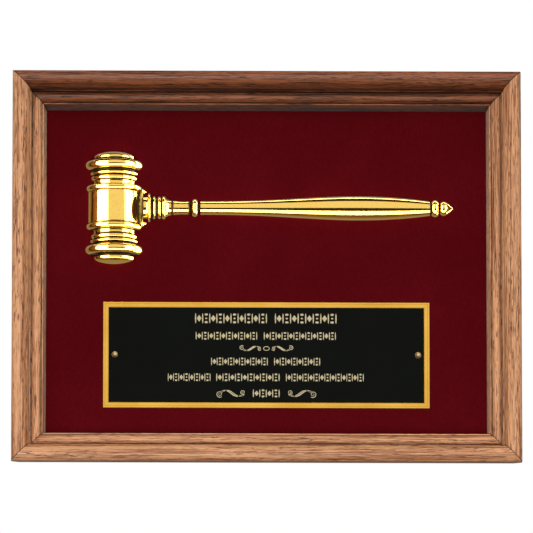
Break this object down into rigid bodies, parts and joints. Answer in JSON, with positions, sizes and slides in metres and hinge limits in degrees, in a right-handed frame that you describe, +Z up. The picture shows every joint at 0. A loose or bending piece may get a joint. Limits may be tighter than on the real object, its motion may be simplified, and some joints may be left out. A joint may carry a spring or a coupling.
{
  "type": "wooden plaque",
  "caption": "Wall plaque: a mitred walnut frame holds a velour-covered board with a gilt gavel in relief and a black engraving plate with a gilt border.",
  "frame": {"origin": "on the wall plane, behind the root of the sawtooth hanger's middle notch", "axes": "+X to the right as seen from the front, +Z up, +Y into the wall; the face looks towards -Y"},
  "size_m": [0.3364, 0.0348, 0.2637],
  "materials": {
    "walnut": "satin lacquer over oiled walnut",
    "board": "raw hardboard",
    "velour": "short-pile burgundy velour",
    "gavel_gilt": "polished gilt",
    "plate_gilt": "satin gilt",
    "plate_black": "black engraving lacquer",
    "pin_brass": "polished",
    "steel": "zinc plated",
    "rubber": "matte"
  },
  "bodies": {
    "root": {"top_rail": "walnut", "bottom_rail": "walnut", "left_rail": "walnut", "right_rail": "walnut", "corner_v_nails": "steel", "mounting_board": "board", "velour_cloth": "velour", "cloth_staples": "steel", "retaining_points": "steel", "gavel_head": "gavel_gilt", "gavel_handle": "gavel_gilt", "gavel_screws": "steel", "gavel_washers": "steel", "plate_border": "plate_gilt", "name_plate": "plate_black", "plate_pins": "pin_brass", "sawtooth_hanger": "steel", "hanger_nails": "steel", "wall_bumpers": "rubber"}
  },
  "joints": []
}
